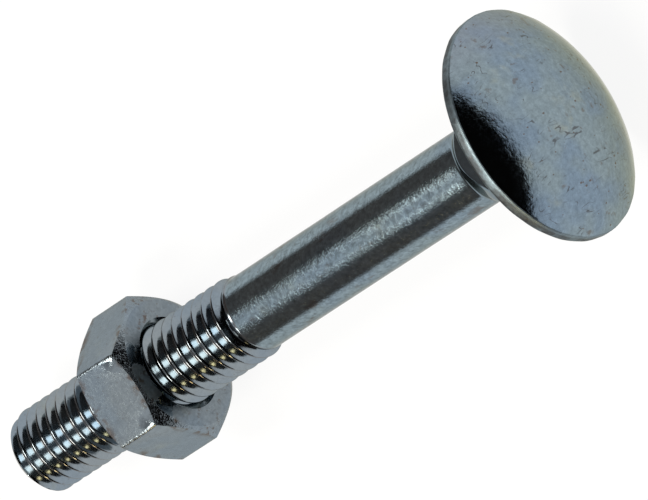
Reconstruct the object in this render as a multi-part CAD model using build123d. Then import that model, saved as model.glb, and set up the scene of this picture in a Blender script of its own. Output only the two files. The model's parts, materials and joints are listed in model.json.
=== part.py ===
"""Carriage bolt (mushroom head, square neck) with a hexagon nut on its thread.

Millimetres, +Z up. The bolt lies as it comes to rest: on the rim of its head and on one flat of the nut,
so its axis climbs a little towards the head. The origin is under the middle of the bounding box.

Each piece is drawn about its own axis first. In that frame +Z runs from the thread's end to the head,
z = 0 is the thread's end, +X is the side that faces up at rest and angles turn from +X towards +Y.
"""

from build123d import *
import math
import os

# Bolt: overall
length_under_head = 39.7
head_diameter = 13.25
dome_radius = 10.7

# Bolt: rim of the head
rim_thickness = 0.65
rim_lower_rounding = 0.22
rim_upper_rounding = 0.12

# Bolt: square neck
neck_width = 5.0
neck_length = 3.9
neck_edge_rounding = 0.35
neck_lead_half_angle = 38.0
neck_turn = -21.0

# Bolt: rolled thread, drawn as its crest cylinder, and the shank at the blank's diameter
thread_pitch = 0.8
thread_diameter = 4.9
thread_turns = 22
thread_runout = 0.3
end_chamfer = 0.45
shank_diameter = 4.42

# Nut
nut_across_flats = 7.9
nut_height = 3.7
nut_outer_chamfer_angle = 30.0
nut_seat_chamfer_angle = 38.0
nut_chamfer_inset = 0.15
nut_countersink_depth = 0.25
nut_running_clearance = 0.05
free_thread_past_nut = 7.85

# Derived sizes
head_radius = head_diameter / 2
thread_radius = thread_diameter / 2
shank_radius = shank_diameter / 2
thread_length = thread_turns * thread_pitch
nut_bore_radius = thread_radius + nut_running_clearance
nut_apothem = nut_across_flats / 2
nut_corner_radius = nut_apothem / math.cos(math.radians(30))
nut_face_radius = nut_apothem - nut_chamfer_inset
outer_chamfer_rise = math.tan(math.radians(nut_outer_chamfer_angle))
seat_chamfer_rise = math.tan(math.radians(nut_seat_chamfer_angle))


def solid_of_revolution(outline):
    """Turn a closed face, drawn in the XZ plane, about the Z axis."""
    return revolve(outline, axis=Axis.Z, revolution_arc=360)


def outline_through(points):
    """A closed face in the XZ plane through (radius, height) points."""
    return make_face(Plane.XZ * Polyline(*points, close=True))


def make_head():
    """Shallow dome on a rim with rounded edges."""
    underside = length_under_head
    rim_top = underside + rim_thickness
    dome_centre = rim_top - math.sqrt(dome_radius**2 - head_radius**2)
    half_rise = math.asin(head_radius / dome_radius) / 2
    dome_middle = (
        dome_radius * math.sin(half_rise),
        dome_centre + dome_radius * math.cos(half_rise),
    )
    dome_top = (0, dome_centre + dome_radius)
    edges = [
        Polyline((0, dome_top[1]), (0, underside), (head_radius, underside), (head_radius, rim_top)),
        ThreePointArc((head_radius, rim_top), dome_middle, dome_top),
    ]
    outline = make_face([Plane.XZ * edge for edge in edges])
    rim_corners = outline.vertices().filter_by(lambda corner: corner.X > head_radius - 0.001)
    outline = fillet(rim_corners.sort_by(Axis.Z)[-1], rim_upper_rounding)
    underside_ends = outline.vertices().filter_by(lambda end: abs(end.Z - underside) < 0.001)
    outline = fillet(underside_ends.sort_by(Axis.X)[-1], rim_lower_rounding)
    return solid_of_revolution(outline)


def make_neck():
    """Square neck with rounded edges; a cone leads from the round shank to its flats."""
    start = length_under_head - neck_length
    square = RectangleRounded(neck_width, neck_width, neck_edge_rounding)
    prism = extrude(Pos(0, 0, start) * square, neck_length)
    lead_radius = neck_width
    lead_length = (lead_radius - shank_radius) / math.tan(math.radians(neck_lead_half_angle))
    lead_cone = outline_through([
        (0, start),
        (shank_radius, start),
        (lead_radius, start + lead_length),
        (lead_radius, start + lead_length + neck_length),
        (0, start + lead_length + neck_length),
    ])
    return Rot(0, 0, neck_turn) * (prism & solid_of_revolution(lead_cone))


def make_shaft():
    """Thread crest cylinder with its end chamfer, the run-out and the plain shank."""
    outline = outline_through([
        (0, 0),
        (thread_radius - end_chamfer, 0),
        (thread_radius, end_chamfer),
        (thread_radius, thread_length),
        (shank_radius, thread_length + thread_runout),
        (shank_radius, length_under_head),
        (0, length_under_head),
    ])
    return solid_of_revolution(outline)


def make_bolt():
    """The whole bolt, forged and rolled as one piece."""
    return make_shaft() + make_neck() + make_head()


def make_nut():
    """Hexagon nut, chamfered on both faces and countersunk at both ends of its bore."""
    turned_radius = 1.05 * nut_corner_radius
    outer_depth = (turned_radius - nut_face_radius) * outer_chamfer_rise
    seat_depth = (turned_radius - nut_face_radius) * seat_chamfer_rise
    hexagon = RegularPolygon(radius=nut_apothem, side_count=6, major_radius=False, rotation=30)
    blank = extrude(hexagon, nut_height)
    turned = solid_of_revolution(outline_through([
        (0, 0),
        (nut_face_radius, 0),
        (turned_radius, outer_depth),
        (turned_radius, nut_height - seat_depth),
        (nut_face_radius, nut_height),
        (0, nut_height),
    ]))
    countersink_radius = nut_bore_radius + nut_countersink_depth
    bore = solid_of_revolution(outline_through([
        (0, 0),
        (countersink_radius, 0),
        (nut_bore_radius, nut_countersink_depth),
        (nut_bore_radius, nut_height - nut_countersink_depth),
        (countersink_radius, nut_height),
        (0, nut_height),
    ]))
    return Pos(0, 0, free_thread_past_nut) * ((blank & turned) - bore)


def resting_plane():
    """The pieces' own frame, placed so that the head's rim and the nut's lower flat touch z = 0.

    The floor touches the lower rounding of the rim, whose centre lies (along, across) from the
    highest point of the curve where the nut's lower flat meets its outer chamfer.
    """
    nut_edge = (free_thread_past_nut + nut_chamfer_inset * outer_chamfer_rise, nut_apothem)
    rim_centre = (length_under_head + rim_lower_rounding, head_radius - rim_lower_rounding)
    along = rim_centre[0] - nut_edge[0]
    across = rim_centre[1] - nut_edge[1]
    tilt = math.atan2(across, along) + math.asin(rim_lower_rounding / math.hypot(along, across))
    lift = nut_edge[1] * math.cos(tilt) - nut_edge[0] * math.sin(tilt)
    return Plane(
        origin=(0, 0, lift),
        x_dir=(-math.sin(tilt), 0, math.cos(tilt)),
        z_dir=(math.cos(tilt), 0, math.sin(tilt)),
    )


def centred_over_origin(pieces):
    """Slide the pieces along X so that the middle of their common bounding box is over the origin."""
    boxes = [piece.bounding_box() for piece in pieces.values()]
    middle = (min(box.min.X for box in boxes) + max(box.max.X for box in boxes)) / 2
    return {node: Pos(-middle, 0, 0) * piece for node, piece in pieces.items()}


rest = resting_plane().location
pieces = centred_over_origin({
    "carriage_bolt": rest * make_bolt(),
    "hex_nut": rest * make_nut(),
})

os.makedirs("parts", exist_ok=True)
for node, piece in pieces.items():
    export_step(piece, f"parts/{node}.step")
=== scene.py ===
"""Looks of a zinc-plated carriage bolt and its hexagon nut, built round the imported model.

The bolt and the nut are shaped in their own frames: +Z runs along the thread towards the head, z = 0 is the
outer end, +X is the side that faces up at rest, and angles turn from +X towards +Y. Sizes inside the mesh
functions are in millimetres; finish_mesh carries them to metres and into the row's frame.
"""

import json
import math

import bmesh
import bpy
import numpy as np
from bpy.props import FloatProperty, FloatVectorProperty, IntProperty, PointerProperty
from bpy.types import Operator, Panel, PropertyGroup
from mathutils import Matrix, Vector, noise


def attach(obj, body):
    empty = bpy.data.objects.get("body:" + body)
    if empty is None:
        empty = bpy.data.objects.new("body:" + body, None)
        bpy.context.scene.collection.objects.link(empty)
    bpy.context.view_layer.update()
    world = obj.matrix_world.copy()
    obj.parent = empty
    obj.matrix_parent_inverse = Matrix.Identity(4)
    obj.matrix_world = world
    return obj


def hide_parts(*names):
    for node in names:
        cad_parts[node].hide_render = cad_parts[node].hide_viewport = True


bl_info = {
    "name": "Carriage bolt",
    "version": (1, 0, 0),
    "blender": (4, 5, 0),
    "location": "3D View > Sidebar > Carriage bolt",
    "description": "Zinc-plated carriage bolt with rolled thread and hexagon nut",
    "category": "Object",
}

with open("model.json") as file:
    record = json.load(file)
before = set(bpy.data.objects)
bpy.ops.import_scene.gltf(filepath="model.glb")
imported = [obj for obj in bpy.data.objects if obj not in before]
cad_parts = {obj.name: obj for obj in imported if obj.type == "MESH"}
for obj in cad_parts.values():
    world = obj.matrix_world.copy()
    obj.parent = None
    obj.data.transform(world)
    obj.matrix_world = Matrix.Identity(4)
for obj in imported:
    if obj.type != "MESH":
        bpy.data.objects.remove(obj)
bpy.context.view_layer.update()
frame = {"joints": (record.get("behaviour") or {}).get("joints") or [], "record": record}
MOUNTS = {mount["name"]: mount for mount in frame["record"]["mounts"]}
MILLIMETRE = 0.001
COLUMNS = 144
PLACE = "place"
WEAR = "wear"
# The plain circle that the nut's bore ends in, and its crests, stand this far off the bolt's thread.
BORE_RELIEF = 0.05
CREST_RELIEF = 0.13
# The thread starts to fade this far before its last full turn ends.
FADE_LEAD = 0.35


# -------------------- settings


def length_setting(name, description, millimetres):
    """A length with its unit; the default is given in millimetres."""
    return FloatProperty(
        name=name,
        description=description,
        default=millimetres * MILLIMETRE,
        min=0.0,
        precision=5,
        unit="LENGTH",
    )


def angle_setting(name, description, degrees):
    """An angle; the default is given in degrees."""
    return FloatProperty(name=name, description=description, default=math.radians(degrees), unit="ROTATION")


def share_setting(name, description, value):
    """A factor from 0 to 1."""
    return FloatProperty(
        name=name,
        description=description,
        default=value,
        min=0.0,
        max=1.0,
        subtype="FACTOR",
    )


def colour_setting(name, description, red, green, blue):
    """A linear colour."""
    return FloatVectorProperty(
        name=name,
        description=description,
        default=(red, green, blue),
        min=0.0,
        max=1.0,
        size=3,
        subtype="COLOR",
    )


class BoltSizes(PropertyGroup):
    """Sizes of the bolt."""

    length_under_head: length_setting("Length", "From the thread's end to the underside of the head", 39.7)
    head_diameter: length_setting("Head", "Diameter over the rim", 13.25)
    dome_radius: length_setting("Dome", "Radius of the domed top", 10.7)
    rim_thickness: length_setting("Rim", "Height of the rim below the dome", 0.65)
    rim_lower_rounding: length_setting("Lower edge", "Rounding of the rim's lower edge", 0.22)
    rim_upper_rounding: length_setting("Upper edge", "Rounding of the rim's upper edge", 0.12)
    neck_width: length_setting("Neck", "Width of the square neck", 5.0)
    neck_length: length_setting("Neck length", "Length of the square neck", 3.9)
    neck_edge_rounding: length_setting("Neck edges", "Rounding of the neck's long edges", 0.35)
    neck_lead: angle_setting("Neck lead", "Half angle of the cone between shank and neck", 38.0)
    neck_fillet: length_setting("Neck fillet", "Half the length of the hollow where the lead starts", 0.14)
    neck_turn: angle_setting("Neck turn", "Turn of the neck's flats from the side that faces up", -21.0)
    shank_diameter: length_setting("Shank", "Diameter of the plain shank", 4.42)


class ThreadSizes(PropertyGroup):
    """Sizes of the rolled thread, shared by bolt and nut."""

    pitch: length_setting("Pitch", "Travel in one turn", 0.8)
    diameter: length_setting("Crest", "Diameter over the crests", 4.9)
    root_diameter: length_setting("Root", "Diameter in the roots", 4.02)
    turns: IntProperty(name="Turns", description="Turns of full thread", default=22, min=2)
    runout: length_setting("Run-out", "Length over which the thread fades into the shank", 0.3)
    end_chamfer: length_setting("End chamfer", "Chamfer at the thread's end", 0.45)
    phase: length_setting("Phase", "Height of the first root on the side that faces up", 0.7)
    nut_clearance: length_setting("Clearance", "Gap between the flanks of bolt and nut", 0.04)


class NutSizes(PropertyGroup):
    """Sizes of the nut."""

    across_flats: length_setting("Across flats", "Width over two flats", 7.9)
    height: length_setting("Height", "Height of the nut", 3.7)
    chamfer_inset: length_setting("Face inset", "How far the turned face stops inside the flats", 0.15)
    outer_chamfer: angle_setting("Outer chamfer", "Slope of the chamfer on the outer face", 30.0)
    seat_chamfer: angle_setting("Seat chamfer", "Slope of the chamfer on the face nearer the head", 38.0)
    roll_off: length_setting("Roll-off", "How far the corners next to the seat are battered in", 0.15)
    roll_off_width: length_setting("Roll-off width", "How far the battering reaches over a flat", 1.4)
    countersink: length_setting("Countersink", "Depth of the countersink at both ends of the bore", 0.25)
    from_end: length_setting("From the end", "Thread that stands past the nut", 7.85)
    corner_rounding: length_setting("Corners", "Rounding of the six long edges", 0.22)


class FinishSettings(PropertyGroup):
    """Colours and gloss of the plating."""

    plating: colour_setting("Plating", "Bright zinc", 0.215, 0.275, 0.310)
    cool: colour_setting("Cool tint", "Blue of the passivated zinc", 0.180, 0.245, 0.320)
    warm: colour_setting("Warm tint", "Straw of the passivated zinc", 0.310, 0.330, 0.270)
    nut_flats: colour_setting("Nut flats", "Duller zinc on the nut", 0.225, 0.262, 0.290)
    polished: colour_setting("Thread", "Zinc polished by the rolling dies", 0.245, 0.280, 0.305)
    stain: colour_setting("Stain", "Brown handling marks", 0.110, 0.075, 0.055)
    # Iridescent tint of the passivated zinc, painted as a sheen on the rim's lower side where the dome is
    # seen at a glancing angle.
    straw_edge_sheen: colour_setting("Straw", "Iridescence along the lower side of the rim", 0.400, 0.430, 0.270)
    lilac: colour_setting("Lilac", "Iridescence on one side of the dome", 0.240, 0.245, 0.310)
    # Dark grey of scratch lines and the rim's dull patches, and also the painted shade in the thread's
    # roots.
    dark_mark_and_shade: colour_setting("Scratches", "Dark line of a scratch", 0.070, 0.070, 0.075)
    edge_tint: colour_setting("Edge tint", "Tint of the plating seen at a glancing angle", 0.62, 0.62, 0.58)
    dome_edge_tint: colour_setting("Dome edge tint", "The same on the dome", 0.70, 0.69, 0.56)
    rim_roughness: share_setting("Rim", "Roughness of the head's rim", 0.44)
    dome_roughness: share_setting("Dome", "Roughness of the dome", 0.10)
    shank_roughness: share_setting("Shank", "Roughness of the plain shank", 0.12)
    thread_roughness: share_setting("Thread", "Roughness of the thread", 0.12)
    face_roughness: share_setting("Nut faces", "Roughness of the nut's turned faces", 0.42)
    chamfer_roughness: share_setting("Nut chamfers", "Roughness of the nut's chamfers", 0.24)
    flat_roughness: share_setting("Nut flats", "Roughness of the nut's flats", 0.23)


class StageSettings(PropertyGroup):
    """Camera, lamps and surroundings."""

    aim_from_end: length_setting("Aim", "How far past the thread's end the camera looks at the axis", 23.95)
    aim_aside: FloatProperty(
        name="Aside",
        description="How far beside the axis the camera aims",
        default=-0.00074,
        unit="LENGTH",
    )
    view_angle: angle_setting("View angle", "Angle between the line of sight and the bolt's axis", 53.06)
    view_turn: angle_setting("View turn", "Turn of the line of sight about the bolt's axis", 1.3)
    view_roll: angle_setting("Roll", "Climb of the bolt's axis across the view", 33.38)
    distance: length_setting("Distance", "Camera to the point it looks at", 458.8)
    lens: FloatProperty(name="Lens", description="Focal length in millimetres", default=480.5, min=1.0)
    floor_size: length_setting("Floor", "Width of the floor", 6000.0)
    wall_radius: length_setting("Wall radius", "Radius of the dark wall that the metal mirrors", 900.0)
    wall_top: angle_setting("Wall top", "Elevation of the dark wall's upper edge", 41.0)
    wall_bottom: angle_setting("Wall bottom", "Elevation of the dark wall's lower edge past the head", 5.0)
    wall_ahead: share_setting("Wall ahead", "Brightness of the wall past the head", 0.004)
    wall_behind: share_setting("Wall behind", "Brightness of the wall past the thread's end", 0.15)
    ceiling_middle: share_setting("Ceiling", "Brightness of the ceiling along the middle", 0.40)
    ceiling_sides: share_setting("Ceiling sides", "Brightness of the ceiling away from the middle", 0.12)
    ambient: FloatProperty(name="Ambient", description="Strength of the soft light", default=0.4, min=0.0)


class CarriageBoltSettings(PropertyGroup):
    """Everything that a user would change."""

    bolt: PointerProperty(type=BoltSizes)
    thread: PointerProperty(type=ThreadSizes)
    nut: PointerProperty(type=NutSizes)
    finish: PointerProperty(type=FinishSettings)
    stage: PointerProperty(type=StageSettings)


def settings():
    """The scene's settings."""
    return bpy.context.scene.carriage_bolt


def in_millimetres(length):
    """A length setting as a plain number of millimetres."""
    return length / MILLIMETRE


# -------------------- placing


def bolt_axis():
    """Direction from the thread's end to the head, in the row's frame."""
    return Vector(frame["joints"][0]["axis"]).normalized()


def bolt_placement():
    """The bolt's own frame in the row's frame: its origin is the centre of the thread's end."""
    bolt = settings().bolt
    along = bolt_axis()
    neck_middle = bolt.length_under_head - bolt.neck_length / 2
    end = Vector(MOUNTS["square_neck"]["pos_m"]) - along * neck_middle
    across = Vector((0.0, 0.0, 1.0)).cross(along).normalized()
    up = along.cross(across).normalized()
    side = along.cross(up)
    turn = Matrix((up, side, along)).transposed().to_4x4()
    return Matrix.Translation(end) @ turn


# -------------------- mesh helpers


def smooth_step(value):
    """0 below 0, 1 above 1, and smooth between."""
    value = np.clip(value, 0.0, 1.0)
    return value * value * (3.0 - 2.0 * value)


def ring(angles, radius, height):
    """One ring of points; radius and height may differ from point to point."""
    radius = np.broadcast_to(radius, angles.shape)
    height = np.broadcast_to(height, angles.shape)
    return np.stack([radius * np.cos(angles), radius * np.sin(angles), height], axis=1)


def add_rings(bm, rings, material, outward=True):
    """Join closed rings of equal length with quads. Rings are given in order along +Z, or outwards.

    material is a face index, or a function that gives one for the middle of a face.
    """
    rows = [[bm.verts.new(point) for point in points] for points in rings]
    count = len(rows[0])
    for lower, upper in zip(rows, rows[1:]):
        for j in range(count):
            k = (j + 1) % count
            corners = [lower[j], lower[k], upper[k], upper[j]]
            face = bm.faces.new(corners if outward else corners[::-1])
            face.material_index = material(face.calc_center_median()) if callable(material) else material
            face.smooth = True


def add_helix(bm, angles, turns, pitch, phase, radius_at, low, high, material, outward=True):
    """A thread's surface, swept along its helix between the planes low and high.

    radius_at(offset, height) gives the radius at a place within the pitch and a height. Points past either
    plane are held on it, where radius_at has to give a plain circle.
    """
    count = len(angles)
    share = np.arange(count) / count
    offsets = thread_offsets()
    per_turn = len(offsets)
    rows = []
    for turn in range(-2, turns + 3):
        for offset in offsets:
            height = phase + pitch * (turn + share + offset)
            held = np.clip(height, low, high)
            radius = radius_at(np.full(count, offset), held)
            rows.append([bm.verts.new(point) for point in ring(angles, radius, held)])
    for row in range(len(rows) - per_turn - 1):
        for j in range(count):
            after = rows[row][j + 1] if j + 1 < count else rows[row + per_turn][0]
            above_after = rows[row + 1][j + 1] if j + 1 < count else rows[row + 1 + per_turn][0]
            corners = [rows[row][j], after, above_after, rows[row + 1][j]]
            heights = [corner.co.z for corner in corners]
            if max(heights) - min(heights) < 1e-9:
                continue
            face = bm.faces.new(corners if outward else corners[::-1])
            face.material_index = material
            face.smooth = True


def finish_mesh(bm, name, materials, placement, sharp_degrees, wear_at):
    """Weld the parts of a mesh, carry it into the row's frame and make its object.

    Each point keeps its place in the piece's own frame, in millimetres, and the wear that wear_at gives
    there, for the materials to read.
    """
    loose = [vert for vert in bm.verts if not vert.link_faces]
    bmesh.ops.delete(bm, geom=loose, context="VERTS")
    bmesh.ops.remove_doubles(bm, verts=bm.verts, dist=2e-4)
    bmesh.ops.dissolve_degenerate(bm, edges=bm.edges, dist=1e-4)
    mesh = bpy.data.meshes.new(name)
    bm.to_mesh(mesh)
    bm.free()
    places = np.empty(3 * len(mesh.vertices))
    mesh.vertices.foreach_get("co", places)
    kept = mesh.attributes.new(PLACE, "FLOAT_VECTOR", "POINT")
    kept.data.foreach_set("vector", places)
    wear = mesh.attributes.new(WEAR, "FLOAT", "POINT")
    wear.data.foreach_set("value", wear_at(places.reshape(-1, 3)))
    mesh.transform(placement @ Matrix.Scale(MILLIMETRE, 4))
    mesh.set_sharp_from_angle(angle=math.radians(sharp_degrees))
    for material in materials:
        mesh.materials.append(material)
    piece = bpy.data.objects.new(name, mesh)
    bpy.context.scene.collection.objects.link(piece)
    return piece


def uneven(points, size, amount, seed):
    """Shift points in and out from the axis by smooth noise; size and amount are in millimetres."""
    shifted = points.copy()
    for index, point in enumerate(points):
        reach = math.hypot(point[0], point[1])
        if reach < 1e-6:
            continue
        swell = amount * noise.noise(Vector(point) / size + Vector((seed, 0.0, 0.0)))
        shifted[index, :2] *= (reach + swell) / reach
    return shifted


# -------------------- thread


def thread_offsets():
    """Places of the profile's points within one pitch: the root is at 0 and the crest at one half."""
    root = [0.0, 0.07, 0.11]
    flank = [0.15, 0.25, 0.35, 0.395]
    crest = [0.43, 0.465]
    rising = root + flank + crest
    return rising + [0.5] + [1.0 - offset for offset in reversed(rising[1:])]


def thread_height(offset):
    """Height of the thread over its root, 0 to 1: 60 degree flanks with a soft root and crest."""
    thread = settings().thread
    depth = (thread.diameter - thread.root_diameter) / 2
    run = depth * math.tan(math.radians(30)) / thread.pitch
    crest_half = 1 / 16
    from_crest = np.abs(np.mod(offset, 1.0) - 0.5)
    flank = 1.0 - (from_crest - crest_half) / run
    softness = 0.05
    floor = 0.5 * (flank + np.sqrt(flank * flank + softness * softness))
    drop = 1.0 - floor
    return 1.0 - 0.5 * (drop + np.sqrt(drop * drop + softness * softness))


def external_radius(offset, height):
    """Radius of the bolt's thread, with the chamfer at its end and the run-out into the shank."""
    bolt, thread = settings().bolt, settings().thread
    crest = in_millimetres(thread.diameter) / 2
    root = in_millimetres(thread.root_diameter) / 2
    shank = in_millimetres(bolt.shank_diameter) / 2
    full = root + (crest - root) * thread_height(offset)
    chamfer = crest - in_millimetres(thread.end_chamfer) + height
    turned = np.minimum(full, chamfer)
    start = thread.turns * in_millimetres(thread.pitch)
    fade = smooth_step((height - start + FADE_LEAD) / (in_millimetres(thread.runout) + FADE_LEAD))
    return turned * (1.0 - fade) + shank * fade


def internal_radius(offset, height):
    """Radius of the nut's thread, which follows the bolt's with a clearance, and its two countersinks."""
    thread, nut = settings().thread, settings().nut
    gap = in_millimetres(thread.nut_clearance)
    crest = in_millimetres(thread.diameter) / 2
    root = in_millimetres(thread.root_diameter) / 2
    inner = root + CREST_RELIEF
    full = np.maximum(root + (crest - root) * thread_height(offset) + gap, inner)
    opening = crest + BORE_RELIEF + in_millimetres(nut.countersink)
    top = in_millimetres(nut.height)
    cone = np.maximum(opening - height, opening - (top - height))
    return np.maximum(full, cone)


# -------------------- bolt


def square_radius(angles, width, rounding, turn):
    """Distance from the centre to the outline of a square with rounded corners."""
    folded = np.mod(angles - turn + math.pi / 4, math.pi / 2) - math.pi / 4
    folded = np.abs(folded)
    half = width / 2
    flat = half / np.cos(folded)
    centre = half - rounding
    reach = math.hypot(centre, centre)
    off = folded - math.pi / 4
    under = np.maximum(rounding**2 - (reach * np.sin(off)) ** 2, 0.0)
    corner = reach * np.cos(off) + np.sqrt(under)
    in_corner = flat * np.sin(folded) > centre
    return np.where(in_corner, corner, flat)


def neck_rings(angles):
    """Rings from the shank over the lead cone and along the square neck to the head."""
    bolt = settings().bolt
    shank = in_millimetres(bolt.shank_diameter) / 2
    top = in_millimetres(bolt.length_under_head)
    start = top - in_millimetres(bolt.neck_length)
    width = in_millimetres(bolt.neck_width)
    outline = square_radius(angles, width, in_millimetres(bolt.neck_edge_rounding), bolt.neck_turn)
    meeting = start + (outline - shank) / math.tan(bolt.neck_lead)
    reach = in_millimetres(bolt.neck_fillet)
    bend = math.tan(bolt.neck_lead) / (4 * reach)
    rings = []
    for part in (-1.0, -0.6, -0.2, 0.2, 0.6, 1.0):
        rings.append(ring(angles, shank + bend * (reach * (part + 1)) ** 2, start + reach * part))
    for part in (0.33, 0.66, 0.97):
        rings.append(ring(angles, shank + (outline - shank) * part, start + (meeting - start) * part))
    for part in (0.03, 0.3, 0.6, 0.9, 1.0):
        rings.append(ring(angles, outline, meeting + (top - meeting) * part))
    return rings, outline


def rim_profile():
    """(radius, height) points of the rim, from the underside round both edges to the dome."""
    bolt = settings().bolt
    radius = in_millimetres(bolt.head_diameter) / 2
    under = in_millimetres(bolt.length_under_head)
    lower = in_millimetres(bolt.rim_lower_rounding)
    upper = in_millimetres(bolt.rim_upper_rounding)
    rim_top = under + in_millimetres(bolt.rim_thickness)
    slope = math.asin(radius / in_millimetres(bolt.dome_radius))
    points = []
    for step in range(6):
        turn = math.radians(90 * step / 5)
        points.append((radius - lower + lower * math.sin(turn), under + lower - lower * math.cos(turn)))
    tangent = upper * math.tan((math.pi / 2 - slope) / 2)
    points.append((radius, (under + lower + rim_top - tangent) / 2))
    for step in range(6):
        turn = (math.pi / 2 - slope) * step / 5
        points.append((radius - upper + upper * math.cos(turn), rim_top - tangent + upper * math.sin(turn)))
    return points


def dome_profile(count):
    """(radius, height) points of the dome, from the rim's rounded edge to the middle."""
    bolt = settings().bolt
    sphere = in_millimetres(bolt.dome_radius)
    edge = in_millimetres(bolt.head_diameter) / 2
    rim_top = in_millimetres(bolt.length_under_head) + in_millimetres(bolt.rim_thickness)
    centre = rim_top - math.sqrt(sphere**2 - edge**2)
    first = rim_profile()[-1][0]
    start = math.asin(first / sphere)
    turns = [start * (1 - step / count) for step in range(1, count + 1)]
    return [(sphere * math.sin(turn), centre + sphere * math.cos(turn)) for turn in turns]


def add_bolt_shaft(bm, angles):
    """End face, thread and plain shank."""
    bolt, thread = settings().bolt, settings().thread
    crest = in_millimetres(thread.diameter) / 2
    pitch = in_millimetres(thread.pitch)
    end_radius = crest - in_millimetres(thread.end_chamfer)
    shank = in_millimetres(bolt.shank_diameter) / 2
    top = thread.turns * pitch + in_millimetres(thread.runout) + 0.02
    hollow = ((0.0, 0.10), (0.45, 0.085), (0.9, 0.05), (1.3, 0.015), (1.65, 0.0), (1.9, 0.0))
    end_face = [ring(angles, radius, height) for radius, height in (*hollow, (end_radius, 0.0))]
    add_rings(bm, end_face, THREAD)
    phase = in_millimetres(thread.phase) + pitch * bolt.neck_turn / (2 * math.pi)
    add_helix(bm, angles, thread.turns + 2, pitch, phase, external_radius, 0.0, top, THREAD)
    neck_start = in_millimetres(bolt.length_under_head - bolt.neck_length - bolt.neck_fillet)
    heights = np.linspace(top, neck_start, 46)
    rings = []
    for height in heights:
        level = ring(angles, shank, height)
        plain = height in (top, neck_start)
        rings.append(level if plain else uneven(level, size=2.6, amount=0.008, seed=4.0))
    add_rings(bm, rings, SHANK)


def dome_swell(point):
    """Forging unevenness of the dome at a point: long swells and shorter ones on them."""
    return 0.010 * noise.noise(point / 1.9) + 0.0035 * noise.noise(point / 0.7)


def add_bolt_head(bm, angles):
    """Square neck, underside, rim and dome."""
    necks, outline = neck_rings(angles)
    add_rings(bm, necks, NECK)
    under = in_millimetres(settings().bolt.length_under_head)
    rim = rim_profile()
    start = rim[0][0]
    underside = [ring(angles, outline + (start - outline) * part, under) for part in (0, 0.15, 0.5, 1.0)]
    add_rings(bm, underside, RIM)
    rim_rings = [ring(angles, radius, height) for radius, height in rim]
    worn = [rim_rings[0]] + [uneven(level, size=0.9, amount=0.03, seed=11.0) for level in rim_rings[1:]]
    add_rings(bm, worn, RIM)
    dome = [worn[-1]]
    for radius, height in dome_profile(64):
        level = ring(angles, radius, height)
        blend = smooth_step((rim[-1][0] - radius) / 0.5)
        level[:, 2] += blend * np.array([dome_swell(Vector(point)) for point in level])
        if radius < 1e-6:
            level[:, 2] = level[:, 2].mean()
        dome.append(level)
    add_rings(bm, dome, DOME)


# -------------------- nut


def hexagon_radius(angles, apothem, rounding):
    """Distance from the centre to the outline of a hexagon with lightly rounded corners."""
    third = math.pi / 3
    folded = np.abs(np.mod(angles + third / 2, third) - third / 2)
    flat = apothem / np.cos(folded)
    centre = (apothem - rounding) / math.cos(third / 2)
    off = folded - third / 2
    under = np.maximum(rounding**2 - (centre * np.sin(off)) ** 2, 0.0)
    corner = centre * np.cos(off) + np.sqrt(under)
    in_corner = flat * np.sin(folded) > centre * math.sin(third / 2)
    return np.where(in_corner, corner, flat)


def nut_columns():
    """Angles of the nut's columns: even, and closer together at the six corners."""
    third = math.pi / 3
    sides = []
    for side in range(6):
        share = np.linspace(-1.0, 1.0, 24, endpoint=False)
        bent = np.sign(share) * (1.0 - (1.0 - np.abs(share)) ** 1.7)
        sides.append(side * third + bent * third / 2)
    return np.concatenate(sides)


def battering(angles, height, corner_height):
    """How far each point lies inside a battered corner, 0 to 1.

    Handling has rolled the metal over at the two corners next to the seat on the side that faces up.
    """
    nut = settings().nut
    third = math.pi / 3
    wrapped = np.mod(angles + math.pi, 2 * math.pi) - math.pi
    along_flat = np.abs(np.abs(wrapped) - third / 2) * in_millimetres(nut.across_flats) / 2
    distance = np.hypot(along_flat, corner_height - height)
    return np.clip(1.0 - distance / in_millimetres(nut.roll_off_width), 0.0, 1.0)


def no_wear(places):
    """A piece with no battered place."""
    return np.zeros(len(places))


def nut_wear(places):
    """How battered the nut is at each place, 0 to 1."""
    nut = settings().nut
    apothem = in_millimetres(nut.across_flats) / 2
    corner = apothem / math.cos(math.pi / 6) - in_millimetres(nut.chamfer_inset) * 0.5
    face = apothem - in_millimetres(nut.chamfer_inset)
    corner_height = in_millimetres(nut.height) - (corner - face) * math.tan(nut.seat_chamfer)
    return battering(np.arctan2(places[:, 1], places[:, 0]), places[:, 2], corner_height)


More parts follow.
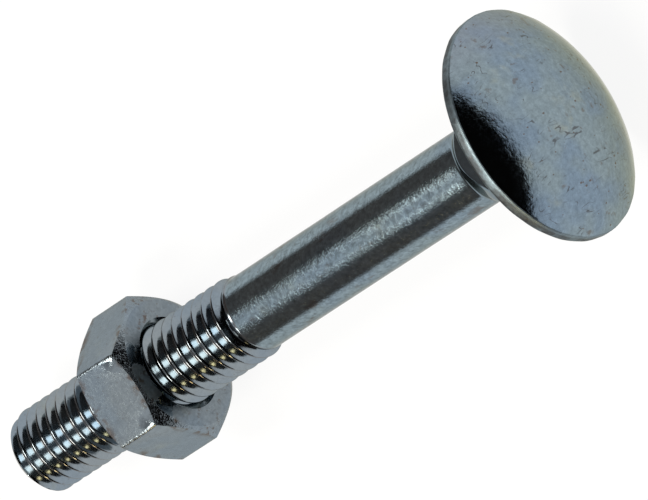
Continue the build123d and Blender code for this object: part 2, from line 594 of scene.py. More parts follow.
def add_nut_outside(bm, angles):
    """Both turned faces, their chamfers and the six flats, from the outer face to the seat."""
    nut, thread = settings().nut, settings().thread
    apothem = in_millimetres(nut.across_flats) / 2
    top = in_millimetres(nut.height)
    face = apothem - in_millimetres(nut.chamfer_inset)
    opening = in_millimetres(thread.diameter) / 2 + BORE_RELIEF + in_millimetres(nut.countersink)
    outline = hexagon_radius(angles, apothem, in_millimetres(nut.corner_rounding))
    # The turned faces fall away by this much at their rim.
    lip = 0.004
    # The bore's columns are evenly spaced, so each face turns from those to the outline's columns.
    even = angles[0] + 2 * math.pi * np.arange(len(angles)) / len(angles)
    face_rings = []
    for part in (0, 0.08, 0.5, 0.94):
        face_rings.append(ring(even + (angles - even) * part, opening + (face - opening) * part, 0.0))
    face_rings.append(ring(angles, face, lip))
    add_rings(bm, face_rings, FACE)
    drop = (outline - face) * math.tan(nut.outer_chamfer)
    parts = (0, 0.05, 0.5, 0.95, 1)
    outer = [ring(angles, face + (outline - face) * part, lip + (drop - lip) * part) for part in parts]
    add_rings(bm, outer, CHAMFER)
    seat_drop = (outline - face) * math.tan(nut.seat_chamfer)
    corner_height = top - seat_drop.max()
    flats = []
    for part in (0, 0.03, 0.12, 0.3, 0.45, 0.55, 0.64, 0.72, 0.79, 0.85, 0.9, 0.94, 0.98, 1):
        height = drop + (top - seat_drop - drop) * part
        depth = in_millimetres(nut.roll_off) * battering(angles, height, corner_height) ** 2
        flats.append(ring(angles, outline - depth, height))

    def flat_or_edge(middle):
        """The edges between the flats, from 28.8 degrees off a flat's middle, look like the chamfers."""
        angle = math.atan2(middle.y, middle.x)
        from_flat = abs(math.fmod(abs(angle) + math.pi / 6, math.pi / 3) - math.pi / 6)
        return CHAMFER if from_flat > math.radians(28.8) else FLAT

    add_rings(bm, flats, flat_or_edge)
    edge = outline - in_millimetres(nut.roll_off) * battering(angles, top - seat_drop, corner_height) ** 2
    seat = []
    for part in parts:
        seat.append(ring(angles, face + (edge - face) * part, top - lip - (seat_drop - lip) * part))
    add_rings(bm, seat[::-1], CHAMFER)
    flipped = np.array([1.0, 1.0, -1.0])
    add_rings(bm, [level * flipped + np.array([0.0, 0.0, top]) for level in face_rings[::-1]], FACE)


def add_nut_bore(bm, angles):
    """Countersinks and the internal thread, in step with the bolt's thread where the nut rests."""
    thread, nut = settings().thread, settings().nut
    pitch = in_millimetres(thread.pitch)
    top = in_millimetres(nut.height)
    phase = math.fmod(in_millimetres(thread.phase) - in_millimetres(nut.from_end), pitch)
    turns = math.ceil(top / pitch) + 1
    add_helix(bm, angles, turns, pitch, phase, internal_radius, 0.0, top, BORE, outward=False)


# -------------------- materials

SHANK, THREAD, NECK, RIM, DOME = range(5)
FLAT, CHAMFER, FACE, BORE = range(4)


def add_node(tree, kind, values=None, links=None, **properties):
    """Add a node, set its properties and inputs, and link sockets into it."""
    node = tree.nodes.new(kind)
    for name, value in properties.items():
        setattr(node, name, value)
    for name, value in (values or {}).items():
        node.inputs[name].default_value = value
    for name, socket in (links or {}).items():
        tree.links.new(socket, node.inputs[name])
    return node


def new_group(name, inputs, outputs):
    """A shader node group with named sockets; returns its tree and its two end nodes."""
    tree = bpy.data.node_groups.new(name, "ShaderNodeTree")
    for socket, (kind, default) in inputs.items():
        made = tree.interface.new_socket(name=socket, in_out="INPUT", socket_type=kind)
        if default is not None:
            made.default_value = default
    for socket, kind in outputs.items():
        tree.interface.new_socket(name=socket, in_out="OUTPUT", socket_type=kind)
    return tree, tree.nodes.new("NodeGroupInput"), tree.nodes.new("NodeGroupOutput")


def add_group(tree, name, values=None, links=None):
    """Use a node group in a material."""
    node = tree.nodes.new("ShaderNodeGroup")
    node.node_tree = bpy.data.node_groups[name]
    for socket, value in (values or {}).items():
        node.inputs[socket].default_value = value
    for socket, source in (links or {}).items():
        tree.links.new(source, node.inputs[socket])
    return node


def noise_value(tree, place, scale, detail, roughness=0.5, stretch=(1.0, 1.0, 1.0), turn=(0.0, 0.0, 0.0)):
    """Noise over the piece, scale in features per millimetre, optionally turned and stretched."""
    mapped = add_node(
        tree,
        "ShaderNodeMapping",
        values={"Rotation": [math.radians(part) for part in turn], "Scale": stretch},
        links={"Vector": place},
    )
    texture = add_node(
        tree,
        "ShaderNodeTexNoise",
        values={"Scale": scale, "Detail": detail, "Roughness": roughness},
        links={"Vector": mapped.outputs[0]},
    )
    return texture.outputs["Fac"]


def ramp(tree, value, low, high, low_out=0.0, high_out=1.0):
    """Smooth step of a value between two levels."""
    node = add_node(
        tree,
        "ShaderNodeMapRange",
        values={"From Min": low, "From Max": high, "To Min": low_out, "To Max": high_out},
        links={"Value": value},
        interpolation_type="SMOOTHSTEP",
    )
    return node.outputs["Result"]


def calculate(tree, operation, first, second):
    """A Math node on sockets or plain numbers."""
    node = tree.nodes.new("ShaderNodeMath")
    node.operation = operation
    for socket, value in zip(node.inputs, (first, second)):
        if isinstance(value, (int, float)):
            socket.default_value = value
        else:
            tree.links.new(value, socket)
    return node.outputs[0]


def mix_colour(tree, factor, first, second, blend="MIX"):
    """Mix two colours, each a socket or a plain colour."""
    node = add_node(tree, "ShaderNodeMix", data_type="RGBA", blend_type=blend)
    sockets = {socket.identifier: socket for socket in node.inputs}
    pairs = ((sockets["Factor_Float"], factor), (sockets["A_Color"], first), (sockets["B_Color"], second))
    for socket, value in pairs:
        if isinstance(value, bpy.types.NodeSocket):
            tree.links.new(value, socket)
        elif isinstance(value, (int, float)):
            socket.default_value = value
        else:
            socket.default_value = (*value[:3], 1.0)
    return next(socket for socket in node.outputs if socket.identifier == "Result_Color")


def make_tone_group():
    """Soft clouds of cool and warm tint, and a fine mottle, over a base colour."""
    tree, start, end = new_group(
        "plating_tone",
        {
            "Place": ("NodeSocketVector", None),
            "Base": ("NodeSocketColor", (0.2, 0.25, 0.3, 1.0)),
            "Cool": ("NodeSocketColor", (0.2, 0.25, 0.3, 1.0)),
            "Warm": ("NodeSocketColor", (0.3, 0.3, 0.25, 1.0)),
            "Cloud": ("NodeSocketFloat", 1.0),
            "Mottle": ("NodeSocketFloat", 0.12),
        },
        {"Colour": "NodeSocketColor"},
    )
    place = start.outputs["Place"]
    cool = ramp(tree, noise_value(tree, place, 0.34, 2.0), 0.42, 0.64)
    warm = ramp(tree, noise_value(tree, place, 0.45, 3.0, 0.6, turn=(40, 20, 70)), 0.58, 0.85)
    cool = calculate(tree, "MULTIPLY", cool, start.outputs["Cloud"])
    warm = calculate(tree, "MULTIPLY", warm, start.outputs["Cloud"])
    tinted = mix_colour(tree, cool, start.outputs["Base"], start.outputs["Cool"])
    tinted = mix_colour(tree, warm, tinted, start.outputs["Warm"])
    fine = noise_value(tree, place, 3.5, 5.0, 0.75)
    swing = calculate(tree, "MULTIPLY", calculate(tree, "SUBTRACT", fine, 0.5), start.outputs["Mottle"])
    level = calculate(tree, "ADD", calculate(tree, "MULTIPLY", swing, 4.0), 1.0)
    grey = add_node(tree, "ShaderNodeCombineColor", links={"Red": level, "Green": level, "Blue": level})
    shown = mix_colour(tree, 1.0, tinted, grey.outputs[0], "MULTIPLY")
    tree.links.new(shown, end.inputs["Colour"])


def make_scratch_group():
    """Fine scratches in two directions, and small pits: one mask for each."""
    tree, start, end = new_group(
        "scratches_and_pits",
        {
            "Place": ("NodeSocketVector", None),
            "Width": ("NodeSocketFloat", 0.012),
            "Pit size": ("NodeSocketFloat", 0.22),
        },
        {"Scratches": "NodeSocketFloat", "Pits": "NodeSocketFloat"},
    )
    place = start.outputs["Place"]
    lines = []
    for turn, patch_turn in (((15, 35, 52), (80, 10, 0)), ((70, 15, 128), (10, 60, 30))):
        wave = noise_value(tree, place, 1.0, 1.0, 0.4, stretch=(0.35, 2.6, 2.6), turn=turn)
        away = calculate(tree, "ABSOLUTE", calculate(tree, "SUBTRACT", wave, 0.5), 0.0)
        line = calculate(tree, "LESS_THAN", away, start.outputs["Width"])
        patch = ramp(tree, noise_value(tree, place, 0.8, 2.0, turn=patch_turn), 0.56, 0.64)
        lines.append(calculate(tree, "MULTIPLY", line, patch))
    tree.links.new(calculate(tree, "MAXIMUM", *lines), end.inputs["Scratches"])
    drawn = add_node(
        tree,
        "ShaderNodeMapping",
        values={"Scale": (1.0, 1.6, 1.6), "Rotation": (0.3, 0.2, 0.9)},
        links={"Vector": place},
    )
    vector = {"Vector": drawn.outputs[0]}
    cells = add_node(tree, "ShaderNodeTexVoronoi", values={"Scale": 2.3}, links=vector)
    chance = add_node(tree, "ShaderNodeSeparateColor", links={"Color": cells.outputs["Color"]})
    kept = calculate(tree, "GREATER_THAN", chance.outputs["Red"], 0.5)
    size = calculate(tree, "MULTIPLY", start.outputs["Pit size"], chance.outputs["Green"])
    spot = calculate(tree, "LESS_THAN", cells.outputs["Distance"], size)
    tree.links.new(calculate(tree, "MULTIPLY", kept, spot), end.inputs["Pits"])


def make_phase_group():
    """How far a place on a thread lies from the nearest root: 0 in the root, 0.5 on the crest."""
    tree, start, end = new_group(
        "thread_phase",
        {
            "Place": ("NodeSocketVector", None),
            "Pitch": ("NodeSocketFloat", 0.8),
            "Start": ("NodeSocketFloat", 0.0),
        },
        {"From root": "NodeSocketFloat"},
    )
    up, side, along = split_place(tree, start.outputs["Place"])
    turns = calculate(tree, "DIVIDE", calculate(tree, "ARCTAN2", side, up), 2 * math.pi)
    raised = calculate(tree, "SUBTRACT", along, start.outputs["Start"])
    climbed = calculate(tree, "DIVIDE", raised, start.outputs["Pitch"])
    # Whole turns are added so that the fraction is taken of a positive number.
    unwound = calculate(tree, "ADD", calculate(tree, "SUBTRACT", climbed, turns), 64.5)
    within = calculate(tree, "FRACT", unwound, 0.0)
    from_root = calculate(tree, "ABSOLUTE", calculate(tree, "SUBTRACT", within, 0.5), 0.0)
    tree.links.new(from_root, end.inputs["From root"])


def make_grain_group():
    """Surface grain: a value for gloss, and a normal. Stretch above 1 draws it out along the bolt."""
    tree, start, end = new_group(
        "surface_grain",
        {
            "Place": ("NodeSocketVector", None),
            "Grains per mm": ("NodeSocketFloat", 6.0),
            "Stretch": ("NodeSocketFloat", 1.0),
            "Depth": ("NodeSocketFloat", 1.0),
            "Waviness": ("NodeSocketFloat", 0.0),
        },
        {"Value": "NodeSocketFloat", "Normal": "NodeSocketVector"},
    )
    along = calculate(tree, "DIVIDE", 1.0, start.outputs["Stretch"])
    squeeze = add_node(tree, "ShaderNodeCombineXYZ", values={"X": 1.0, "Y": 1.0}, links={"Z": along})
    drawn = add_node(
        tree,
        "ShaderNodeVectorMath",
        links={0: start.outputs["Place"], 1: squeeze.outputs[0]},
        operation="MULTIPLY",
    )
    fine = add_node(
        tree,
        "ShaderNodeTexNoise",
        values={"Detail": 3.0, "Roughness": 0.65},
        links={"Vector": drawn.outputs[0], "Scale": start.outputs["Grains per mm"]},
    )
    wave = add_node(
        tree,
        "ShaderNodeTexNoise",
        values={"Scale": 1.1, "Detail": 2.0},
        links={"Vector": drawn.outputs[0]},
    )
    swell = calculate(tree, "MULTIPLY", wave.outputs["Fac"], start.outputs["Waviness"])
    bumps = calculate(tree, "MULTIPLY", fine.outputs["Fac"], start.outputs["Depth"])
    height = calculate(tree, "ADD", bumps, swell)
    # One unit of Depth or Waviness is one thousandth of a millimetre.
    bump = add_node(
        tree,
        "ShaderNodeBump",
        values={"Strength": 1.0, "Distance": 1e-6},
        links={"Height": height},
    )
    tree.links.new(fine.outputs["Fac"], end.inputs["Value"])
    tree.links.new(bump.outputs[0], end.inputs["Normal"])


def start_metal(name):
    """A plated-metal material: its tree, its shader and the socket with the place on the piece."""
    material = bpy.data.materials.new(name)
    material.use_nodes = True
    tree = material.node_tree
    shader = tree.nodes["Principled BSDF"]
    shader.inputs["Metallic"].default_value = 1.0
    place = add_node(tree, "ShaderNodeAttribute", attribute_name=PLACE).outputs["Vector"]
    return material, tree, shader, place


def plated(name, base, cool, warm, roughness, spread, grain, tone, marks, extra=None, edge=None):
    """A plated surface.

    grain sets the grain group's inputs, tone the tone group's and marks the strength of scratches and pits.
    extra(tree, place, colour) may change the colour before it reaches the shader. edge is the tint at a
    glancing angle, where it isn't the usual one.
    """
    material, tree, shader, place = start_metal(name)
    finish = settings().finish
    shader.inputs["Specular Tint"].default_value = (*(edge or finish.edge_tint), 1.0)
    colours = {"Base": (*base, 1.0), "Cool": (*cool, 1.0), "Warm": (*warm, 1.0)}
    toned = add_group(tree, "plating_tone", values={**colours, **tone}, links={"Place": place})
    tinted = toned.outputs["Colour"]
    surface = add_group(tree, "surface_grain", values=grain, links={"Place": place})
    worn = add_group(tree, "scratches_and_pits", links={"Place": place})
    if extra:
        tinted = extra(tree, place, tinted)
    scratched = calculate(tree, "MULTIPLY", worn.outputs["Scratches"], marks["scratches"])
    pitted = calculate(tree, "MULTIPLY", worn.outputs["Pits"], marks["pits"])
    tinted = mix_colour(tree, scratched, tinted, finish.dark_mark_and_shade)
    tinted = mix_colour(tree, pitted, tinted, finish.stain)
    tree.links.new(tinted, shader.inputs["Base Color"])
    gloss = ramp(tree, surface.outputs["Value"], 0.3, 0.7, roughness - spread, roughness + spread)
    wear = add_node(tree, "ShaderNodeAttribute", attribute_name=WEAR).outputs["Fac"]
    broken = calculate(tree, "MULTIPLY", noise_value(tree, place, 2.6, 3.0, 0.6), 0.8)
    ragged = calculate(tree, "ADD", wear, broken)
    rubbed = ramp(tree, ragged, 0.72, 0.80)
    polish = calculate(tree, "SUBTRACT", 1.0, calculate(tree, "MULTIPLY", rubbed, 0.75))
    tree.links.new(calculate(tree, "MULTIPLY", gloss, polish), shader.inputs["Roughness"])
    tree.links.new(surface.outputs["Normal"], shader.inputs["Normal"])
    return material


def split_place(tree, place):
    """The three parts of a place: across towards the upper side, across to the side, and along the bolt."""
    return add_node(tree, "ShaderNodeSeparateXYZ", links={"Vector": place}).outputs


def dome_tints_and_edge_sheen(tree, place, colour):
    """Iridescent straw tint of the passivated zinc, painted as a sheen on the rim's lower side where the
    camera sees the dome at a glancing angle; lilac towards one side, and brown blotches.
    """
    finish = settings().finish
    up, side, _ = split_place(tree, place)
    # Painted sheen: the straw tint lies on the rim's lower side, the far edge that the camera sees at a
    # glancing angle.
    low = ramp(tree, up, -3.9, -6.3)
    cloud = ramp(tree, noise_value(tree, place, 0.5, 2.0), 0.35, 0.6, 0.4, 1.0)
    colour = mix_colour(tree, calculate(tree, "MULTIPLY", low, cloud), colour, finish.straw_edge_sheen)
    left = ramp(tree, side, -3.5, -6.3, 0.0, 0.3)
    colour = mix_colour(tree, left, colour, finish.lilac)
    blotch = ramp(tree, noise_value(tree, place, 1.3, 3.0, 0.6), 0.62, 0.72, 0.0, 0.5)
    return mix_colour(tree, blotch, colour, finish.stain)


def edge_stains(tree, place, colour):
    """Brown handling marks gathered in broken patches."""
    blotch = ramp(tree, noise_value(tree, place, 1.6, 4.0, 0.65), 0.56, 0.68, 0.0, 0.75)
    return mix_colour(tree, blotch, colour, settings().finish.stain)


def rim_stains(tree, place, colour):
    """The rim's band is dull and brownish, with bare bright metal where the upper edge is rubbed."""
    finish, bolt = settings().finish, settings().bolt
    along = split_place(tree, place)[2]
    top = in_millimetres(bolt.length_under_head + bolt.rim_thickness)
    band = ramp(tree, along, top - 0.10, top - 0.22, 0.15, 0.8)
    patch = ramp(tree, noise_value(tree, place, 1.1, 4.0, 0.65), 0.36, 0.62, 0.35, 1.0)
    return mix_colour(tree, calculate(tree, "MULTIPLY", band, patch), colour, finish.dark_mark_and_shade)


def shank_stains(tree, place, colour):
    """A few faint brown smears on the shank."""
    smears = noise_value(tree, place, 0.9, 3.0, 0.6, stretch=(1.0, 1.0, 0.5))
    blotch = ramp(tree, smears, 0.60, 0.72, 0.0, 0.5)
    return mix_colour(tree, blotch, colour, settings().finish.stain)


def flat_stains(tree, place, colour):
    """Brown lines near the turned edges of the nut's flats."""
    along = split_place(tree, place)[2]
    middle = in_millimetres(settings().nut.height) / 2
    from_middle = calculate(tree, "ABSOLUTE", calculate(tree, "SUBTRACT", along, middle), 0.0)
    near_edge = ramp(tree, from_middle, middle - 0.75, middle - 0.25)
    broken = ramp(tree, noise_value(tree, place, 1.5, 3.0), 0.45, 0.6, 0.0, 0.7)
    return mix_colour(tree, calculate(tree, "MULTIPLY", near_edge, broken), colour, settings().finish.stain)


def thread_root_shade_and_crest_line(tree, place, colour):
    """Painted shade darkening the roots, and a thin broken brown line along the crests."""
    thread, finish = settings().thread, settings().finish
    values = {"Pitch": in_millimetres(thread.pitch), "Start": in_millimetres(thread.phase)}
    from_root = add_group(tree, "thread_phase", values=values, links={"Place": place}).outputs["From root"]
    # Painted shade: the roots are darkened towards the dark grey, as shade in the thread's hollows.
    root_shade = ramp(tree, from_root, 0.085, 0.13, 0.85, 0.0)
    colour = mix_colour(tree, root_shade, colour, finish.dark_mark_and_shade)
    broken = ramp(tree, noise_value(tree, place, 1.2, 3.0), 0.35, 0.6, 0.1, 0.5)
    crest_line = calculate(tree, "MULTIPLY", ramp(tree, from_root, 0.44, 0.475), broken)
    return mix_colour(tree, crest_line, colour, finish.stain)


def bolt_materials():
    """Materials of the bolt in the order of its face indices."""
    finish = settings().finish
    base, cool, warm = tuple(finish.plating), tuple(finish.cool), tuple(finish.warm)
    return [
        plated(
            "shank", base, cool, warm, finish.shank_roughness, 0.06,
            {"Grains per mm": 8.0, "Stretch": 1.0, "Depth": 9.0, "Waviness": 1.0},
            {"Cloud": 0.4, "Mottle": 0.45}, {"scratches": 0.3, "pits": 0.3}, shank_stains,
        ),
        plated(
            "thread", tuple(finish.polished), cool, warm, finish.thread_roughness, 0.03,
            {"Grains per mm": 5.0, "Stretch": 1.0, "Depth": 1.5, "Waviness": 3.0},
            {"Cloud": 0.4, "Mottle": 0.10}, {"scratches": 0.15, "pits": 0.25}, thread_root_shade_and_crest_line,
        ),
        plated(
            "neck", base, cool, warm, finish.shank_roughness, 0.05,
            {"Grains per mm": 6.0, "Stretch": 1.0, "Depth": 4.0, "Waviness": 12.0},
            {"Cloud": 0.5, "Mottle": 0.14}, {"scratches": 0.2, "pits": 0.2},
        ),
        plated(
            "rim", base, cool, warm, finish.rim_roughness, 0.06,
            {"Grains per mm": 4.0, "Stretch": 1.0, "Depth": 14.0, "Waviness": 22.0},
            {"Cloud": 0.5, "Mottle": 0.30}, {"scratches": 0.3, "pits": 0.4}, rim_stains,
        ),
        plated(
            "dome", base, cool, warm, finish.dome_roughness, 0.03,
            {"Grains per mm": 4.5, "Stretch": 1.0, "Depth": 8.0, "Waviness": 12.0},
            {"Cloud": 0.9, "Mottle": 0.30}, {"scratches": 0.75, "pits": 0.8}, dome_tints_and_edge_sheen,
            finish.dome_edge_tint,
        ),
    ]


def nut_materials():
    """Materials of the nut in the order of its face indices."""
    finish = settings().finish
    base, cool, warm = tuple(finish.nut_flats), tuple(finish.cool), tuple(finish.warm)
    return [
        plated(
            "nut_flat", base, cool, warm, finish.flat_roughness, 0.05,
            {"Grains per mm": 7.0, "Stretch": 1.0, "Depth": 4.0, "Waviness": 5.0},
            {"Cloud": 0.35, "Mottle": 0.16}, {"scratches": 0.15, "pits": 0.3}, flat_stains,
        ),
        plated(
            "nut_chamfer", base, cool, warm, finish.chamfer_roughness, 0.08,
            {"Grains per mm": 5.0, "Stretch": 1.0, "Depth": 46.0, "Waviness": 14.0},
            {"Cloud": 0.3, "Mottle": 0.2}, {"scratches": 0.2, "pits": 0.3}, edge_stains,
        ),
        plated(
            "nut_face", base, cool, warm, finish.face_roughness, 0.06,
            {"Grains per mm": 6.0, "Stretch": 1.0, "Depth": 7.0, "Waviness": 12.0},
            {"Cloud": 0.4, "Mottle": 0.22}, {"scratches": 0.25, "pits": 0.5}, edge_stains,
        ),
        plated(
            "nut_bore", base, cool, warm, finish.thread_roughness, 0.03,
            {"Grains per mm": 5.0, "Stretch": 1.0, "Depth": 3.0, "Waviness": 4.0},
            {"Cloud": 0.5, "Mottle": 0.15}, {"scratches": 0.1, "pits": 0.2},
        ),
    ]


# -------------------- stage


def background_share(tree, level):
    """level for rays that see the background directly, in a mirror or through glass, else 0."""
    path = tree.nodes.new("ShaderNodeLightPath").outputs
    direct = calculate(tree, "MAXIMUM", path["Is Camera Ray"], path["Is Glossy Ray"])
    seen = calculate(tree, "MAXIMUM", direct, path["Is Transmission Ray"])
    return calculate(tree, "MULTIPLY", seen, level)


def make_world():
    """White surroundings, which light softly."""
    world = bpy.data.worlds.new("white_room")
    bpy.context.scene.world = world
    world.use_nodes = True
    tree = world.node_tree
    soft = tree.nodes["Background"]
    soft.inputs["Color"].default_value = (1.0, 1.0, 1.0, 1.0)
    soft.inputs["Strength"].default_value = settings().stage.ambient
    white = add_node(tree, "ShaderNodeBackground", values={"Strength": 1.0})
    mix = add_node(tree, "ShaderNodeMixShader", links={0: background_share(tree, 1.0)})
    tree.links.new(soft.outputs[0], mix.inputs[1])
    tree.links.new(white.outputs[0], mix.inputs[2])
    tree.links.new(mix.outputs[0], tree.nodes["World Output"].inputs["Surface"])


def stage_object(mesh, material):
    """Put a mesh of the stage into the scene with its material."""
    piece = bpy.data.objects.new(mesh.name, mesh)
    bpy.context.scene.collection.objects.link(piece)
    mesh.materials.append(material)
    return piece


def make_floor():
    """White floor that keeps a light shadow of the object."""
    size = settings().stage.floor_size / 2
    mesh = bpy.data.meshes.new("floor")
    corners = [(-size, -size, 0.0), (size, -size, 0.0), (size, size, 0.0), (-size, size, 0.0)]
    mesh.from_pydata(corners, [], [(0, 1, 2, 3)])
    material = bpy.data.materials.new("floor_paper")
    material.use_nodes = True
    tree = material.node_tree
    paper = tree.nodes["Principled BSDF"]
    paper.inputs["Base Color"].default_value = (0.92, 0.92, 0.92, 1.0)
    paper.inputs["Roughness"].default_value = 0.9
    paper.inputs["Specular IOR Level"].default_value = 0.0
    white = add_node(tree, "ShaderNodeEmission", values={"Strength": 1.02})
    mix = add_node(tree, "ShaderNodeMixShader", links={0: background_share(tree, 0.88)})
    tree.links.new(paper.outputs[0], mix.inputs[1])
    tree.links.new(white.outputs[0], mix.inputs[2])
    tree.links.new(mix.outputs[0], tree.nodes["Material Output"].inputs["Surface"])
    stage_object(mesh, material)


def glowing_card(name):
    """A card's material, its tree, its emission shader and the three parts of the place on it, in metres."""
    material = bpy.data.materials.new(name)
    material.use_nodes = True
    tree = material.node_tree
    tree.nodes.remove(tree.nodes["Principled BSDF"])
    glow = tree.nodes.new("ShaderNodeEmission")
    tree.links.new(glow.outputs[0], tree.nodes["Material Output"].inputs["Surface"])
    place = split_place(tree, add_node(tree, "ShaderNodeTexCoord").outputs["Object"])
    return material, tree, glow, place


def dark_card():
    """Card that is black past the head and dark grey past the thread's end."""
    stage = settings().stage
    material, tree, glow, place = glowing_card("dark_card")
    level = add_node(
        tree,
        "ShaderNodeMapRange",
        values={
            "From Min": -0.3 * stage.wall_radius,
            "From Max": 0.3 * stage.wall_radius,
            "To Min": stage.wall_behind,
            "To Max": stage.wall_ahead,
        },
        links={"Value": place[0]},
    )
    glow.inputs["Color"].default_value = (1.0, 0.86, 0.78, 1.0)
    tree.links.new(level.outputs["Result"], glow.inputs["Strength"])
    return material


def dim_card():
    """Ceiling that is lighter along the middle, and lighter still far past the thread's end."""
    stage = settings().stage
    material, tree, glow, place = glowing_card("dim_ceiling")
    from_middle = calculate(tree, "ABSOLUTE", place[1], 0.0)
    level = ramp(tree, from_middle, 0.1, 0.4, stage.ceiling_middle, stage.ceiling_sides)
    behind = ramp(tree, place[0], -0.68, -0.45, 2.3, 1.0)
    tree.links.new(calculate(tree, "MULTIPLY", level, behind), glow.inputs["Strength"])
    return material


def make_ceiling():
    """Dim ceiling over the wall, seen only in the metal."""
    stage = settings().stage
    reach = stage.wall_radius
    height = reach * math.tan(stage.wall_top)
    mesh = bpy.data.meshes.new("ceiling")
    sides = ((-reach, -reach), (-reach, reach), (reach, reach), (reach, -reach))
    mesh.from_pydata([(*side, height) for side in sides], [], [(0, 1, 2, 3)])
    hide_from_all_but_metal(stage_object(mesh, dim_card()))


def hide_from_all_but_metal(card):
    """Keep a card out of the camera's direct sight and out of the soft light."""
    card.visible_camera = False
    card.visible_diffuse = False
    card.visible_shadow = False


def make_wall():
    """Dark wall round the stage, seen only in the metal. Its lower edge is raised past the head."""
    stage = settings().stage
    radius = stage.wall_radius
    bm = bmesh.new()
    angles = 2 * math.pi * np.arange(96) / 96
    top = radius * math.tan(stage.wall_top)
    lift = stage.wall_bottom * np.interp(np.cos(angles), (0.4, 0.6, 0.8, 0.97), (0.0, 1.5, 1.5, 1.0))
    add_rings(bm, [ring(angles, radius, radius * np.tan(lift)), ring(angles, radius, top)], 0)
    mesh = bpy.data.meshes.new("dark_wall")
    bm.to_mesh(mesh)
    bm.free()
    hide_from_all_but_metal(stage_object(mesh, dark_card()))


def add_lamp(name, towards, distance, size, radiance, target, colour):
    """A soft lamp in direction towards from target; size is its width and length."""
    lamp = bpy.data.lights.new(name, "AREA")
    lamp.shape = "RECTANGLE"
    lamp.size, lamp.size_y = size
    lamp.energy = radiance * math.pi * size[0] * size[1]
    lamp.color = colour
    holder = bpy.data.objects.new(name, lamp)
    bpy.context.scene.collection.objects.link(holder)
    away = Vector(towards).normalized()
    across = bolt_axis().cross(away).normalized()
    length = away.cross(across)
    turned = Matrix((across, length, away)).transposed().to_4x4()
    holder.matrix_world = Matrix.Translation(target + away * distance) @ turned


def make_lamps():
    """Two lamps over the bolt, either side of its middle, and a small warm one low on one side.

    Each has a name, a turn about the bolt's axis from the side that faces up, and its width, length and
    colour. All lean towards the thread's end.
    """
    lean, distance, radiance = -0.27, 0.7, 12.0
    from_end = 0.02
    placement = bolt_placement()
    up, side, along = (placement.col[i].to_3d() for i in range(3))
    middle = placement.translation + along * from_end
    for name, turn, size, colour in (
        ("lamp_left", -19.0, (0.20, 0.32), (1.0, 0.96, 0.86)),
        ("lamp_right", 19.0, (0.20, 0.32), (1.0, 0.96, 0.86)),
        ("lamp_warm", 57.0, (0.10, 0.20), (1.0, 0.72, 0.34)),
    ):
        bearing = math.radians(turn)
        across = math.cos(bearing) * up + math.sin(bearing) * side
        towards = math.sqrt(1 - lean * lean) * across + lean * along
        add_lamp(name, towards, distance, size, radiance, middle, colour)


def make_camera():
    """Long lens that looks past the head along the bolt, rolled so that the bolt climbs to the right."""
    stage = settings().stage
    placement = bolt_placement()
    up, side, along = (placement.col[i].to_3d() for i in range(3))
    outward = up * math.cos(stage.view_turn) + side * math.sin(stage.view_turn)
    back = along * math.cos(stage.view_angle) + outward * math.sin(stage.view_angle)
    ahead = along * math.sin(stage.view_angle) - outward * math.cos(stage.view_angle)
    beside = ahead.cross(back)
    right = ahead * math.cos(stage.view_roll) + beside * math.sin(stage.view_roll)
    above = ahead * math.sin(stage.view_roll) - beside * math.cos(stage.view_roll)
    aim = placement.translation + along * stage.aim_from_end + beside * stage.aim_aside
    data = bpy.data.cameras.new("camera")
    data.lens = stage.lens
    data.clip_end = 20.0
    camera = bpy.data.objects.new("camera", data)
    bpy.context.scene.collection.objects.link(camera)
    turned = Matrix((right, above, back)).transposed().to_4x4()
    camera.matrix_world = Matrix.Translation(aim + back * stage.distance) @ turned
    bpy.context.scene.camera = camera


# -------------------- operators


class CARRIAGE_OT_groups(Operator):
    """Make the node groups that the materials share"""

    bl_idname = "carriage.groups"
    bl_label = "Make node groups"

    def execute(self, context):
        make_tone_group()
        make_scratch_group()
        make_grain_group()
        make_phase_group()
        return {"FINISHED"}


class CARRIAGE_OT_bolt(Operator):
    """Build the bolt: thread, shank, square neck and domed head, in one mesh"""

    bl_idname = "carriage.bolt"
    bl_label = "Build bolt"

    def execute(self, context):
        angles = settings().bolt.neck_turn + 2 * math.pi * np.arange(COLUMNS) / COLUMNS
        bm = bmesh.new()
        add_bolt_shaft(bm, angles)
        add_bolt_head(bm, angles)
        piece = finish_mesh(bm, "plated_bolt", bolt_materials(), bolt_placement(), 40, no_wear)
        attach(piece, "bolt")
        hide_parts("carriage_bolt")
        return {"FINISHED"}


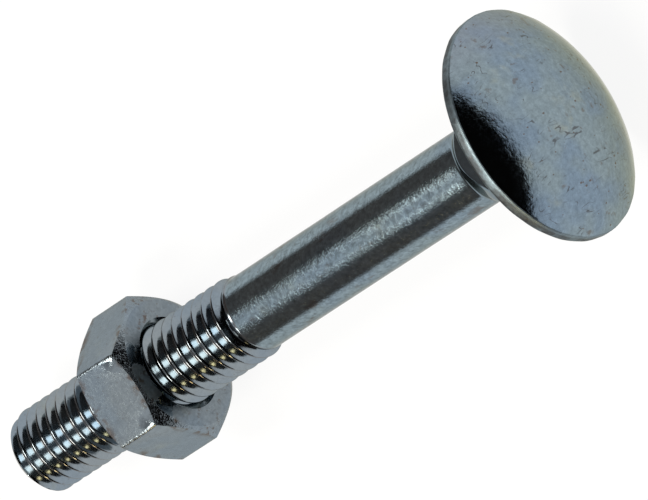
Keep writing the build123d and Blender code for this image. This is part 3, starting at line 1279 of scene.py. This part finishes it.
class CARRIAGE_OT_nut(Operator):
    """Build the hexagon nut with its internal thread"""

    bl_idname = "carriage.nut"
    bl_label = "Build nut"

    def execute(self, context):
        bm = bmesh.new()
        angles = nut_columns()
        add_nut_outside(bm, angles)
        add_nut_bore(bm, 2 * math.pi * np.arange(COLUMNS) / COLUMNS)
        from_end = Matrix.Translation((0.0, 0.0, settings().nut.from_end))
        piece = finish_mesh(bm, "plated_nut", nut_materials(), bolt_placement() @ from_end, 25, nut_wear)
        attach(piece, "nut")
        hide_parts("hex_nut")
        return {"FINISHED"}


class CARRIAGE_OT_stage(Operator):
    """Build the floor, the surroundings, the lamps and the camera"""

    bl_idname = "carriage.stage"
    bl_label = "Build stage"

    def execute(self, context):
        bpy.context.scene.view_settings.view_transform = "Standard"
        make_world()
        make_floor()
        make_wall()
        make_ceiling()
        make_camera()
        make_lamps()
        return {"FINISHED"}


class CARRIAGE_PT_panel(Panel):
    """Build buttons and settings"""

    bl_idname = "CARRIAGE_PT_panel"
    bl_label = "Carriage bolt"
    bl_space_type = "VIEW_3D"
    bl_region_type = "UI"
    bl_category = "Carriage bolt"

    def draw(self, context):
        for operator in OPERATORS:
            self.layout.operator(operator.bl_idname)
        for group in ("bolt", "thread", "nut", "finish", "stage"):
            column = self.layout.column(align=True)
            column.label(text=group.capitalize())
            values = getattr(settings(), group)
            for name in values.__annotations__:
                column.prop(values, name)


OPERATORS = (CARRIAGE_OT_groups, CARRIAGE_OT_bolt, CARRIAGE_OT_nut, CARRIAGE_OT_stage)
CLASSES = (
    BoltSizes,
    ThreadSizes,
    NutSizes,
    FinishSettings,
    StageSettings,
    CarriageBoltSettings,
    *OPERATORS,
    CARRIAGE_PT_panel,
)


def register():
    """Register the classes and hang the settings on the scene."""
    for cls in CLASSES:
        bpy.utils.register_class(cls)
    bpy.types.Scene.carriage_bolt = PointerProperty(type=CarriageBoltSettings)


def unregister():
    """Undo register."""
    del bpy.types.Scene.carriage_bolt
    for cls in reversed(CLASSES):
        bpy.utils.unregister_class(cls)


def main():
    """Build the object and its stage."""
    register()
    bpy.ops.carriage.groups()
    bpy.ops.carriage.bolt()
    bpy.ops.carriage.nut()
    bpy.ops.carriage.stage()


if __name__ == "__main__":
    main()
